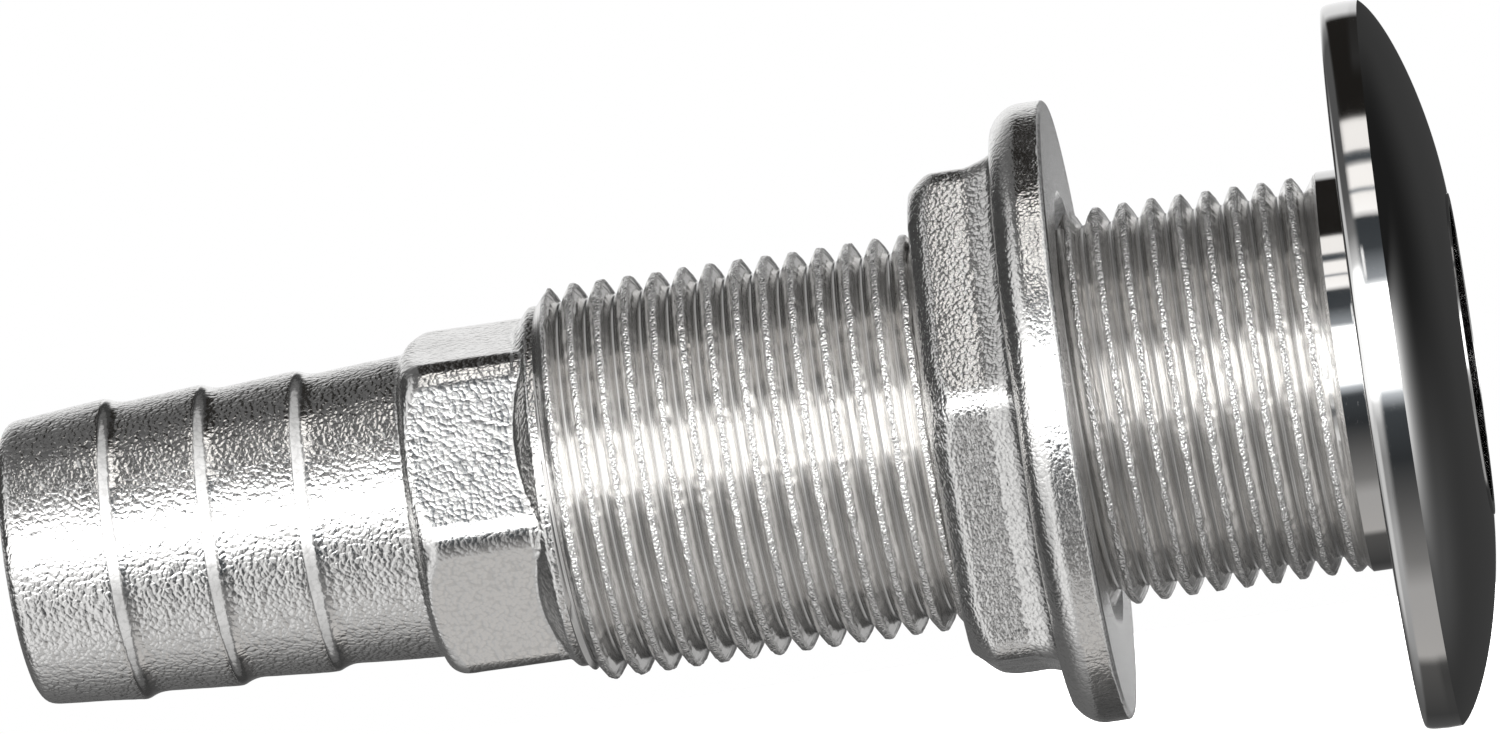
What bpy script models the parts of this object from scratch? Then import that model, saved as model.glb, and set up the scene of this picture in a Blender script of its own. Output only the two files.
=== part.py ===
"""A stainless thru-hull fitting for 25 mm hose: a one-piece body and its flanged hex nut.

The body lies along X. +X points out of the hull, to the mushroom head, and -X points inboard,
to the hose barb. The origin is the centre of the head's flat sealing face. The named sizes are
in millimetres, and MM turns them into Blender's metres.

An angle goes round the X axis from the top (+Z) towards -Y, so that a right-hand thread
advances towards +X as its angle grows.
"""

import math

import bmesh
import bpy

MM = 0.001
SIDES = 36
STEP = math.tau / SIDES
SHARP_EDGE = math.radians(25)
WELD = 1e-7

# G 1 parallel thread: 11 turns to the inch, right-hand, with blunt crests
PITCH = 25.4 / 11
CREST_R = 16.5
ROOT_R = 15.1
CREST_FLAT = 0.5
ROOT_X = -63.6
END_SNAP = 0.06
THREAD_GAP = 0.3

# Threaded shank and neck
THREAD_START_X = -67.9
THREAD_END_X = -2.4
START_CONE = 1.15
RUN_OUT_X = -3.6
RUN_OUT_SLOPE = 1.3
NECK_R = 16.65
NECK_FILLET = 0.5

# Mushroom head: a flat sealing face, a rim band, then a low dome round the waterway's mouth
SEAT_R = 29.8
RIM_R = 30.3
RIM_X = 1.9
CREASE_X = 3.05
CREASE_R = 30.15
DOME_EDGE_PULL = (5.2, 28.4)
DOME_TOP_PULL = (7.65, 20.5)
DOME_TOP = (8.02, 13.4)
DOME_STEPS = 8
LIP_X = 8.14
LIP_R = 13.0
LIP_ROUND = 0.6

# Wrench hex cast between the shank and the barb
HEX_REAR_X = -79.5
HEX_FRONT_X = -69.8
HEX_FLATS = 26.5
HEX_CORNER_R = 14.95
HEX_TURN = math.radians(40)
HEX_ROUND = 0.9
SHOULDER_X = -68.5

# Hose barb: three ridges, each a slow ramp up from the end and a short step down behind it
BARB_END_X = -113.7
BARB_ROOT_R = 11.95
BARB_RIDGE_R = 12.65
BARB_BASE_R = 12.7
FIRST_RIDGE_X = -104.7
RIDGE_PITCH = 8.1
RIDGES = 3
RIDGE_LAND = 0.5
RIDGE_STEP = 0.7
BARB_END_ROUND = 1.2

# Waterway: wide through the head and shank, narrow through the barb
MOUTH_R = 12.4
SHANK_BORE_R = 12.2
BARB_BORE_R = 9.5
TAPER_FRONT_X = -66.0
TAPER_REAR_X = -75.0
BORE_END_ROUND = 0.4

# Flanged nut: the flange faces the hull, and the hex is behind it
NUT_FACE_X = -23.8
FLANGE_REAR_X = -28.3
FLANGE_R = 25.85
FLANGE_REAR_R = 24.3
FLANGE_EDGE = 0.3
FLANGE_BORE_R = 16.95
FLANGE_CHAMFER = 1.3
NUT_SPLIT_GAP = 0.3
NUT_REAR_X = -35.8
NUT_FLATS = 40.5
NUT_CORNER_R = 23.3
NUT_CHAMFER_R = 20.7
NUT_TURN = math.radians(24.5)
NUT_FILLET = 1.2
NUT_THREAD_CHAMFER = 1.0


def clear_scene():
    for obj in list(bpy.data.objects):
        bpy.data.objects.remove(obj, do_unlink=True)


def make_steel(name, colour, roughness):
    material = bpy.data.materials.new(name)
    material.use_nodes = True
    shader = material.node_tree.nodes["Principled BSDF"]
    shader.inputs["Base Color"].default_value = (*colour, 1.0)
    shader.inputs["Metallic"].default_value = 1.0
    shader.inputs["Roughness"].default_value = roughness
    return material


def hexagon(flats, corner_r, turn, angle):
    """The radius of a hexagon across its flats at this angle, with its corners turned down."""
    from_flat = (angle - turn) % (math.tau / 6) - math.tau / 12
    return min(flats / 2 / math.cos(from_flat), corner_r)


def quarter_round(x, r, along, out, steps=3):
    """Points from (x, r) to (x + along, r + out), leaving square to the axis."""
    points = []
    for i in range(steps + 1):
        t = math.pi / 2 * i / steps
        points.append((x + along * (1 - math.cos(t)), r + out * math.sin(t)))
    return points


def bezier(points, steps):
    """Points along a cubic curve, its two ends included."""
    weights = (1, 3, 3, 1)
    curve = []
    for i in range(steps + 1):
        t = i / steps
        shares = [w * (1 - t) ** (3 - k) * t**k for k, w in enumerate(weights)]
        curve.append(tuple(sum(s * p[axis] for s, p in zip(shares, points)) for axis in (0, 1)))
    return curve


def thread_profile(gap):
    """One pitch of the thread: the axial step from its root, and the radius there."""
    to_crest = (PITCH - CREST_FLAT) / 2
    return (
        (0.0, ROOT_R + gap),
        (to_crest, CREST_R + gap),
        (to_crest + CREST_FLAT, CREST_R + gap),
    )


def thread_points(angle, start, end, gap, trim):
    """The thread's outline at this angle, from start to end, each an (x, radius) ring.

    Points past an end lie on its ring, so that every angle has as many points as the next.
    trim(x, radius) cuts the thread back towards its ends.
    """
    first_turn = math.floor((start[0] - ROOT_X) / PITCH) - 2
    last_turn = math.ceil((end[0] - ROOT_X) / PITCH) + 1
    points = []
    for turn in range(first_turn, last_turn + 1):
        for along, radius in thread_profile(gap):
            x = ROOT_X + (turn + angle / math.tau) * PITCH + along
            if x < start[0] + END_SNAP:
                points.append(start)
            elif x > end[0] - END_SNAP:
                points.append(end)
            else:
                points.append((x, trim(x, radius)))
    return points


def turned_object(name, outline, material, threaded=(0, 0), first_angle=0.0):
    """One closed solid from outline(angle), a loop of (x, radius) points round its wall.

    threaded is the slice of the loop that holds a thread. The thread's last angle meets its
    first one a whole turn further on.
    """
    bm = bmesh.new()
    columns = []
    for j in range(SIDES):
        angle = first_angle + j * STEP
        column = []
        for x, r in outline(angle):
            place = (x * MM, -r * MM * math.sin(angle), r * MM * math.cos(angle))
            column.append(bm.verts.new(place))
        columns.append(column)

    points_per_turn = len(thread_profile(0))
    start, end = threaded

    def a_turn_on(row):
        return min(row + points_per_turn, end - 1) if start <= row < end else row

    rows = len(columns[0])
    for j, here in enumerate(columns):
        seam = j == SIDES - 1
        there = columns[(j + 1) % SIDES]
        for row in range(rows):
            after = (row + 1) % rows
            opposite = a_turn_on(row) if seam else row
            opposite_after = a_turn_on(after) if seam else after
            corners = [here[row], here[after], there[opposite_after], there[opposite]]
            distinct = list(dict.fromkeys(corners))
            if len(distinct) > 2:
                bm.faces.new(distinct)
    bmesh.ops.remove_doubles(bm, verts=bm.verts, dist=WELD)
    bmesh.ops.recalc_face_normals(bm, faces=bm.faces)

    mesh = bpy.data.meshes.new(name)
    bm.to_mesh(mesh)
    bm.free()
    mesh.shade_smooth()
    mesh.set_sharp_from_angle(angle=SHARP_EDGE)
    mesh.materials.append(material)
    obj = bpy.data.objects.new(name, mesh)
    bpy.context.scene.collection.objects.link(obj)
    return obj


def barb_outline():
    """The hose barb, from its rounded end to the foot of the wrench hex."""
    points = quarter_round(
        BARB_END_X, BARB_ROOT_R - BARB_END_ROUND, BARB_END_ROUND, BARB_END_ROUND
    )
    for i in range(RIDGES):
        ridge = FIRST_RIDGE_X + i * RIDGE_PITCH
        points.append((ridge, BARB_RIDGE_R))
        points.append((ridge + RIDGE_LAND / 2, BARB_RIDGE_R - RIDGE_LAND / 4))
        points.append((ridge + RIDGE_STEP, BARB_ROOT_R))
    points.append((HEX_REAR_X, BARB_BASE_R))
    return points


def wrench_hex_outline(angle):
    """The wrench hex and the round shoulder between it and the thread."""
    full = hexagon(HEX_FLATS, HEX_CORNER_R, HEX_TURN, angle)
    eased = min(full, HEX_FLATS / 2 + HEX_ROUND / 3)
    return [
        (HEX_REAR_X, eased),
        (HEX_REAR_X + HEX_ROUND, full),
        (HEX_FRONT_X, full),
        (SHOULDER_X, ROOT_R),
    ]


def shank_thread(angle):
    """The external thread, chamfered at its start and run out at the neck."""

    def trim(x, radius):
        chamfer = ROOT_R + (x - THREAD_START_X) * START_CONE
        run_out = ROOT_R + (x - RUN_OUT_X) * RUN_OUT_SLOPE
        return max(min(radius, chamfer), min(run_out, NECK_R))

    return thread_points(
        angle, (THREAD_START_X, ROOT_R), (THREAD_END_X, NECK_R), gap=0.0, trim=trim
    )


def head_outline():
    """The neck's fillet, the sealing face, the rim band, the dome and the waterway's lip."""
    fillet = quarter_round(0, NECK_R + NECK_FILLET, -NECK_FILLET, -NECK_FILLET, steps=2)
    points = list(reversed(fillet))
    points += [(0, SEAT_R), ((RIM_R - SEAT_R) / 2, (SEAT_R + RIM_R) / 2), (RIM_X, RIM_R)]
    points += bezier(((CREASE_X, CREASE_R), DOME_EDGE_PULL, DOME_TOP_PULL, DOME_TOP), DOME_STEPS)
    lip = quarter_round(LIP_X - LIP_ROUND, MOUTH_R, LIP_ROUND, LIP_R - MOUTH_R)
    points += [(x, r) for x, r in reversed(lip)]
    return points


def waterway_outline():
    """The bore, from behind the lip to the barb's end."""
    return [
        (TAPER_FRONT_X, SHANK_BORE_R),
        (TAPER_REAR_X, BARB_BORE_R),
        (BARB_END_X + BORE_END_ROUND, BARB_BORE_R),
        (BARB_END_X, BARB_BORE_R + BORE_END_ROUND),
    ]


def fitting_body(material):
    """The one-piece casting: barb, wrench hex, threaded shank, neck and mushroom head."""
    thread_from = len(barb_outline()) + len(wrench_hex_outline(0))
    threaded = (thread_from, thread_from + len(shank_thread(0)))

    def outline(angle):
        outside = barb_outline() + wrench_hex_outline(angle) + shank_thread(angle)
        return outside + head_outline() + waterway_outline()

    return turned_object("fitting_body", outline, material, threaded)


def nut_flange(material):
    """The nut's round flange, with a bore that clears the thread and a chamfered mouth."""
    rear_corner = (FLANGE_REAR_X, FLANGE_REAR_R)
    front_corner = (FLANGE_REAR_X / 2 + NUT_FACE_X / 2, FLANGE_R)
    pulls = ((FLANGE_REAR_X + 0.4, FLANGE_R - 0.8), (FLANGE_REAR_X + 1.2, FLANGE_R - 0.1))
    loop = [(FLANGE_REAR_X, FLANGE_BORE_R)]
    loop += bezier((rear_corner, *pulls, front_corner), steps=4)
    loop += [
        (NUT_FACE_X - FLANGE_EDGE, FLANGE_R),
        (NUT_FACE_X, FLANGE_R - FLANGE_EDGE),
        (NUT_FACE_X, FLANGE_BORE_R + FLANGE_CHAMFER),
        (NUT_FACE_X - FLANGE_CHAMFER, FLANGE_BORE_R),
    ]
    return turned_object("nut_flange", lambda angle: loop, material)


def nut_hex(material):
    """The nut's hexagon with its internal thread, and the fillet that meets the flange."""
    front = FLANGE_REAR_X - NUT_SPLIT_GAP
    open_r = CREST_R + THREAD_GAP
    inner_start = (NUT_REAR_X, open_r)
    inner_end = (front, open_r)

    def trim(x, radius):
        to_end = min(x - NUT_REAR_X, front - x)
        return max(radius, min(open_r, open_r + NUT_THREAD_CHAMFER - to_end))

    def outline(angle):
        full = hexagon(NUT_FLATS, NUT_CORNER_R, NUT_TURN, angle)
        slope = math.tan(math.radians(30))
        thread = thread_points(angle, inner_start, inner_end, THREAD_GAP, trim)
        return thread + [
            (front, full + NUT_FILLET),
            (front - NUT_FILLET / 4, full + NUT_FILLET / 4),
            (front - NUT_FILLET, full),
            (NUT_REAR_X + max(full - NUT_CHAMFER_R, 0) * slope + 0.05, full),
            (NUT_REAR_X, min(full, NUT_CHAMFER_R) - 0.05),
        ]

    threaded = (0, len(thread_points(0, inner_start, inner_end, THREAD_GAP, trim)))
    return turned_object("nut_hex", outline, material, threaded, NUT_TURN)


def main():
    clear_scene()
    body_steel = make_steel("body_steel", (0.62, 0.60, 0.57), 0.22)
    nut_steel = make_steel("nut_steel", (0.64, 0.62, 0.59), 0.30)
    fitting_body(body_steel)
    nut_flange(nut_steel)
    nut_hex(nut_steel)


main()
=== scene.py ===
"""Looks of the stainless thru-hull fitting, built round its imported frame.

The fitting lies along X, with +X towards the mushroom head. The origin is the centre of the
head's flat sealing face. Named sizes are in millimetres unless a comment says otherwise, and
MM turns them into metres. An angle goes round the X axis from the top (+Z) towards -Y.
"""

import functools
import itertools
import math

import bmesh
import bpy
import numpy as np
from mathutils import Matrix, Vector

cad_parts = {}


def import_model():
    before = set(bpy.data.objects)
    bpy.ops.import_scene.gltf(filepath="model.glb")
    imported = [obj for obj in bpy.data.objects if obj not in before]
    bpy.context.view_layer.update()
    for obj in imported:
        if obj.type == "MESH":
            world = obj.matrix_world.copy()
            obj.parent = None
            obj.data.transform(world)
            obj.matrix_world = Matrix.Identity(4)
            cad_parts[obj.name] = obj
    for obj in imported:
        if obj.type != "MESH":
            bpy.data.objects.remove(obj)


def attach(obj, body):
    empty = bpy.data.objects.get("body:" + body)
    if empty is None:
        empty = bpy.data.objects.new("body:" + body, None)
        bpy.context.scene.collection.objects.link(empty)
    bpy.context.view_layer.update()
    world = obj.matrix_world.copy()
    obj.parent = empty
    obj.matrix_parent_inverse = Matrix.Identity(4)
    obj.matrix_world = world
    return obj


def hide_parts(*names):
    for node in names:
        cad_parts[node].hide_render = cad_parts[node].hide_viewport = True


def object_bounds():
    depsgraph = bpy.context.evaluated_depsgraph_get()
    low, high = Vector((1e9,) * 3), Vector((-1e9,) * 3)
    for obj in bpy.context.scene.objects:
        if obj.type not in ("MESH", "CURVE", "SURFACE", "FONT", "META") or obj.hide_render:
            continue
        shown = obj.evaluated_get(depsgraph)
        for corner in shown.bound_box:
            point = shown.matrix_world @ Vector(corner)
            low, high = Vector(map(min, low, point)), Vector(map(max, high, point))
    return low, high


MM = 0.001
TURN = math.tau

# G 1 parallel thread. ROOT_EDGE and CREST_EDGE ease the corners of its outline, and CREST_ROWS
# are the outline's rows that lie on the crest, which is worn and torn by these amounts.
PITCH = 25.4 / 11
CREST_R = 16.5
ROOT_R = 15.1
CREST_FLAT = 0.5
ROOT_X = -63.6
END_SNAP = 0.06
ROOT_EDGE = (0.14, 0.05)
CREST_EDGE = 0.05
CREST_DROPS = (0.09, 0.02)
CREST_ROWS = (4, 5)
TORN_DEPTH = 0.10
TORN_WEAR = 0.07
TORN_SWAY = 0.09
THREAD_GAP = 0.3
THREAD_START_X = -67.9
THREAD_END_X = -2.4
START_CONE = 1.15
RUN_OUT_X = -3.6
RUN_OUT_SLOPE = 1.3
NECK_R = 16.65

# Mushroom head. Its outline's points are given as (x, radius), and the two PULLS bend the dome.
NECK_FILLET = 0.5
SEAT_R = 29.8
RIM_R = 30.26
RIM_X = 1.9
SEAT_EDGE = ((0, SEAT_R), (0, SEAT_R + 0.25), (0.25, RIM_R - 0.1), (0.9, RIM_R - 0.05))
CREASE = (3.05, 30.22)
DOME_EDGE_PULL = (5.2, 28.4)
DOME_TOP_PULL = (7.65, 20.5)
DOME_TOP = (7.99, 13.4)
LIP_X = 8.12
LIP_DROP = 0.02
LIP_EDGE = 0.03
LIP_ROUND = 0.08
LIP_POLISH = 4.0

# Wrench hex, cast between the shank and the barb
HEX_REAR_X = -79.5
HEX_FRONT_X = -69.8
HEX_FLATS = 26.5
HEX_CORNER_R = 14.8
HEX_TURN = math.radians(43)
HEX_ROUND = 0.5
HEX_CORNER_SLOPE = 1.1
HEX_END_LENGTH = 2.5
HEX_END_ROWS = 0.13
SHOULDER_X = -68.6
SHOULDER_SLOPE = 1.2

# Hose barb. Each ridge ends in a short land, then a curved step down to RIDGE_FOOT, where
# RIDGE_PULLS bend the curve. All are given as (distance behind the ridge, radius).
BARB_END_X = -113.65
BARB_ROOT_R = 11.95
BARB_RIDGE_R = 12.65
BARB_BASE_R = 12.7
FIRST_RIDGE_X = -104.95
RIDGE_PITCH = 8.1
RIDGES = 3
RIDGE_LAND = (0.1, 12.62)
RIDGE_FOOT = (1.7, 12.18)
RIDGE_PULLS = ((0.55, 12.41), (0.95, 12.2))
RIDGE_CALM = (0.7, 1.7)
BARB_END_ROUND = 1.2
BARB_ROWS = 0.25

# Waterway
MOUTH_R = 12.4
SHANK_BORE_R = 12.2
BARB_BORE_R = 9.5
TAPER_FRONT_X = -66.0
TAPER_REAR_X = -75.0
BORE_END_ROUND = 0.4

# Flanged nut. FLANGE_BACK_PULLS bend the flange's back, as (distance ahead of its rear, radius
# past FLANGE_R). NUT_FILLET is given as (distance ahead of the hexagon's front, height above the
# hexagon), and NUT_EDGE_ROUND is how far the rear edge's round reaches along and inwards.
NUT_FACE_X = -23.8
FLANGE_REAR_X = -28.3
FLANGE_R = 25.85
FLANGE_REAR_R = 24.3
FLANGE_EDGE = 0.3
FLANGE_BACK_PULLS = ((0.4, -0.8), (1.2, -0.1))
FLANGE_BORE_R = 16.95
FLANGE_CHAMFER = 1.3
FLANGE_SKIN_R = 19.6
NUT_REAR_X = -35.75
NUT_FLATS = 40.5
NUT_CORNER_R = 22.9
NUT_CHAMFER_R = 21.7
NUT_CHAMFER_SLOPE = math.tan(math.radians(30))
NUT_EDGE_ROUND = (1.5, 1.9)
NUT_EDGE_START = math.radians(40)
NUT_CROWN = 0.2
NUT_TURN = math.radians(24.5)
NUT_FILLET = ((-2.4, 0.0), (-1.5, 0.34), (-0.4, 0.7), (0.0, 1.3))
NUT_OVERLAP = 0.12
NUT_REAR_LAND = 0.4
NUT_THREAD_CHAMFER = 1.0

# Cast skin: lumps as (height, size), then the size of its pebbles. Above 1, PEBBLE_FLATNESS
# gives the pebbles flatter tops and steeper sides.
SKIN_WAVER = (0.030, 4.0)
SKIN_LUMPS = (0.016, 1.4)
PEBBLE_SIZE = 0.55
PEBBLE_FLATNESS = 1.7

# Camera, as turned and rolled about the object's middle
CAMERA_DISTANCE = 913.3
CAMERA_YAW = math.radians(5.168)
CAMERA_ROLL = math.radians(8.31)
CAMERA_AIM = (1.63, 0.0, 7.49)
CAMERA_LENS = 264.3


def smooth_step(value, low, high):
    t = np.clip((value - low) / (high - low), 0, 1)
    return t * t * (3 - 2 * t)


def hash_of(cells, seed):
    """A number from 0 to 1 for each whole-numbered cell."""
    x, y, z = (cells[..., k].astype(np.int64) for k in range(3))
    h = x * 73856093 ^ y * 19349663 ^ z * 83492791 ^ seed * 2654435761
    h = (h ^ (h >> 13)) * 1274126177
    h = (h ^ (h >> 16)) * 668265263
    return ((h >> 8) & 0xFFFFF) / 0xFFFFF


def lumps(points, size, seed):
    """Smooth random lumps from -1 to 1, about size across, at these (x, y, z) points."""
    place = points / size
    cells = np.floor(place)
    part = place - cells
    part = part * part * (3 - 2 * part)
    total = 0
    for corner in itertools.product((0, 1), repeat=3):
        share = np.prod(np.where(corner, part, 1 - part), axis=-1)
        total = total + share * hash_of(cells + corner, seed)
    return 2 * total - 1


def hexagon(flats, corner_r, turn, angle):
    """The radius of a hexagon with rounded corners, at these angles."""
    flat_r = flats / 2
    sharp = flat_r / math.cos(TURN / 12)
    corner = (sharp - corner_r) / (sharp / flat_r - 1)
    centre_r = (flat_r - corner) / math.cos(TURN / 12)
    from_flat = np.abs((angle - turn) % (TURN / 6) - TURN / 12)
    to_corner = TURN / 12 - from_flat
    on_flat = flat_r / np.cos(from_flat)
    inside = np.maximum(corner**2 - (centre_r * np.sin(to_corner)) ** 2, 0)
    on_corner = centre_r * np.cos(to_corner) + np.sqrt(inside)
    tangent = math.atan((flat_r - corner) * math.tan(TURN / 12) / flat_r)
    return np.where(from_flat < tangent, on_flat, on_corner)


def quarter_round(x, r, along, out, steps=8):
    """Points from (x, r) to (x + along, r + out), leaving square to the axis."""
    turns = [math.pi / 2 * i / steps for i in range(steps + 1)]
    return [(x + along * (1 - math.cos(t)), r + out * math.sin(t)) for t in turns]


def bezier(points, steps):
    t = np.linspace(0, 1, steps + 1)[:, None]
    shares = [w * (1 - t) ** (3 - k) * t**k for k, w in enumerate((1, 3, 3, 1))]
    curve = sum(share * np.array(point) for share, point in zip(shares, points))
    return [tuple(point) for point in curve]


def refine(points, spacing):
    """The same line with points at most spacing apart, its own points kept."""
    line = [points[0]]
    for a, b in zip(points, points[1:]):
        a, b = np.array(a, float), np.array(b, float)
        parts = max(1, math.ceil(np.linalg.norm(b - a) / spacing - 1e-6))
        line += [tuple(a + (b - a) * k / parts) for k in range(1, parts + 1)]
    return line


def eased(values, passes):
    """The rows blended with their neighbours, which rounds the corners of a fine outline."""
    for _ in range(passes):
        inner = (values[:-2] + 2 * values[1:-1] + values[2:]) / 4
        values = np.concatenate([values[:1], inner, values[-1:]])
    return values


def bore_radius(x):
    """The waterway's radius at x."""
    stations = (BARB_END_X, TAPER_REAR_X, TAPER_FRONT_X, LIP_X)
    return float(np.interp(x, stations, (BARB_BORE_R, BARB_BORE_R, SHANK_BORE_R, MOUTH_R)))


def angles(columns, first=0.0):
    return first + np.arange(columns) * TURN / columns


def to_points(x, r, angle):
    return np.stack([x, -r * np.sin(angle), r * np.cos(angle)], axis=-1)


def pushed_out(x, r, angle, amount):
    """x and r moved along the outline's normal by amount(points), in millimetres."""
    dx = np.roll(x, -1, axis=0) - np.roll(x, 1, axis=0)
    dr = np.roll(r, -1, axis=0) - np.roll(r, 1, axis=0)
    length = np.maximum(np.hypot(dx, dr), 1e-9)
    push = amount(to_points(x, r, angle))
    return x - dr / length * push, r + dx / length * push


def closed_piece(name, x, r, angle, slots, sharp, threaded=(0, 0), per_turn=0):
    """A closed mesh from rows of rings. slots gives (rows, material), where a later one wins.

    Edges sharper than sharp degrees stay sharp. threaded is the slice of rows that holds a
    thread. Its last column meets its first one a whole turn further on, which is per_turn rows.
    """
    rows, columns = x.shape
    start, end = threaded
    row = np.arange(rows)
    turn_on = np.where((row >= start) & (row < end), np.minimum(row + per_turn, end - 1), row)
    column = np.arange(columns)
    after_row = (row + 1) % rows
    a = row[:, None] * columns + column
    b = after_row[:, None] * columns + column
    c = np.roll(b, -1, axis=1)
    d = np.roll(a, -1, axis=1)
    c[:, -1] = turn_on[after_row] * columns
    d[:, -1] = turn_on * columns
    faces = np.stack([a, b, c, d], axis=-1).reshape(-1, 4)

    mesh = bpy.data.meshes.new(name)
    mesh.from_pydata(to_points(x, r, angle).reshape(-1, 3) * MM, [], faces)
    slot_of_row = np.zeros(rows, np.int32)
    for index, (chosen_rows, material) in enumerate(slots):
        slot_of_row[chosen_rows] = index
        mesh.materials.append(material)
    mesh.polygons.foreach_set("material_index", np.repeat(slot_of_row, columns))
    bm = bmesh.new()
    bm.from_mesh(mesh)
    bmesh.ops.remove_doubles(bm, verts=bm.verts, dist=1e-8)
    bmesh.ops.recalc_face_normals(bm, faces=bm.faces)
    bm.to_mesh(mesh)
    bm.free()
    mesh.shade_smooth()
    mesh.set_sharp_from_angle(angle=math.radians(sharp))
    obj = bpy.data.objects.new(name, mesh)
    bpy.context.scene.collection.objects.link(obj)
    return obj


# ---------------------------------------------------------------------------- shapes


def thread_profile():
    """One pitch of the thread: the axial step from its root, and the height above the root."""
    to_crest = (PITCH - CREST_FLAT) / 2
    height = CREST_R - ROOT_R
    rising = [
        (0.0, 0.0),
        ROOT_EDGE,
        (to_crest / 2, height / 2),
        (to_crest - CREST_EDGE, height - CREST_DROPS[0]),
        (to_crest + CREST_EDGE, height - CREST_DROPS[1]),
    ]
    falling = [(PITCH - along, up) for along, up in reversed(rising[1:])]
    return rising + [(PITCH / 2, height)] + falling


def thread_rows(angle, start, end, gap, trim):
    """x and r of the thread's rows. Rows past an end lie on its ring, which start or end gives."""
    first_turn = math.floor((start[0] - ROOT_X) / PITCH) - 2
    last_turn = math.ceil((end[0] - ROOT_X) / PITCH) + 1
    x, r = [], []
    for turn in range(first_turn, last_turn + 1):
        for along, up in thread_profile():
            here = ROOT_X + (turn + angle / TURN) * PITCH + along
            radius = trim(here, ROOT_R + up + gap)
            before = here < start[0] + END_SNAP
            after = here > end[0] - END_SNAP
            x.append(np.where(before, start[0], np.where(after, end[0], here)))
            r.append(np.where(before, start[1], np.where(after, end[1], radius)))
    return np.array(x), np.array(r)


def ring_rows(points, columns):
    """A plain outline as rows that don't change with the angle."""
    line = np.array(points, float)
    return (np.repeat(line[:, k : k + 1], columns, axis=1) for k in (0, 1))


def cast_skin(seed, pebble_height):
    """The uneven skin of an investment casting: a slow waver, soft lumps and fine pebbles."""
    layers = (SKIN_WAVER, SKIN_LUMPS, (pebble_height, PEBBLE_SIZE))

    def amount(points):
        return sum(
            height * lumps(points, size, seed + k) for k, (height, size) in enumerate(layers)
        )

    return amount


def barb_and_hex(cast, bore):
    """The hose barb, the wrench hex and the round shoulder behind the thread."""
    columns = 368
    angle = angles(columns)
    line = quarter_round(
        BARB_END_X, BARB_ROOT_R - BARB_END_ROUND, BARB_END_ROUND, BARB_END_ROUND
    )
    for i in range(RIDGES):
        ridge = FIRST_RIDGE_X + i * RIDGE_PITCH
        line.append((ridge, BARB_RIDGE_R))
        step = (RIDGE_LAND, *RIDGE_PULLS, RIDGE_FOOT)
        line += bezier([(ridge + along, radius) for along, radius in step], steps=9)
    # The hex gets its radius below. Here its rows are set, closest together at both its ends
    line.append((HEX_REAR_X - 0.3, BARB_BASE_R))
    hex_rows = [(HEX_REAR_X, BARB_BASE_R), (HEX_REAR_X + HEX_END_LENGTH, BARB_BASE_R)]
    line += refine(hex_rows, HEX_END_ROWS)
    line += [(HEX_FRONT_X - 0.6, BARB_BASE_R)]
    shoulder_rows = [(HEX_FRONT_X - 0.5, BARB_BASE_R), (SHOULDER_X + 0.3, BARB_BASE_R)]
    line += refine(shoulder_rows, HEX_END_ROWS)
    line += [(THREAD_START_X, BARB_BASE_R)]
    x, r = ring_rows(refine(line, BARB_ROWS), columns)
    full = hexagon(HEX_FLATS, HEX_CORNER_R, HEX_TURN, angle)[None, :]
    slant = HEX_ROUND + HEX_CORNER_SLOPE * (full - HEX_FLATS / 2)
    rise = np.clip((x - HEX_REAR_X) / slant, 0, 1)
    rise = np.sqrt(1 - (1 - rise) ** 2)
    on_hex = x >= HEX_REAR_X - 0.01
    r = np.where(on_hex, BARB_BASE_R + (full - BARB_BASE_R) * rise, r)
    cone = ROOT_R - SHOULDER_SLOPE * np.maximum(SHOULDER_X - x, 0)
    r = np.where(x > HEX_FRONT_X - 1, np.maximum(r, cone), r)
    x, r = eased(x, passes=2), eased(r, passes=2)
    # The skin is even at the thread, calmer in the hollow behind each ridge, and half on the hex
    skin = cast_skin(seed=11, pebble_height=0.011)
    behind = (x - FIRST_RIDGE_X) % RIDGE_PITCH
    last = FIRST_RIDGE_X + (RIDGES - 1) * RIDGE_PITCH + RIDGE_CALM[1]
    on_ridges = (x > FIRST_RIDGE_X) & (x < last)
    share = 1 - smooth_step(x, SHOULDER_X - 0.2, THREAD_START_X - 0.1)
    share = share * np.where(on_ridges, 0.4 + 0.6 * smooth_step(behind, *RIDGE_CALM), 1.0)
    share = share * (1 - 0.5 * smooth_step(x, HEX_REAR_X, HEX_REAR_X + 1.5))
    x, r = pushed_out(x, r, angle, lambda points: skin(points) * share)

    back = refine(
        [
            (THREAD_START_X, bore_radius(THREAD_START_X)),
            (TAPER_REAR_X, BARB_BORE_R),
            (BARB_END_X + BORE_END_ROUND, BARB_BORE_R),
            (BARB_END_X, BARB_BORE_R + BORE_END_ROUND),
        ],
        spacing=3.0,
    )
    bx, br = ring_rows(back, columns)
    x[-1], r[-1] = THREAD_START_X, ROOT_R
    slots = [(slice(0, None), cast), (slice(len(x) - 1, None), bore)]
    return closed_piece(
        "hose_barb_and_wrench_hex",
        np.vstack([x, bx]),
        np.vstack([r, br]),
        angle,
        slots,
        sharp=50,
    )


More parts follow.
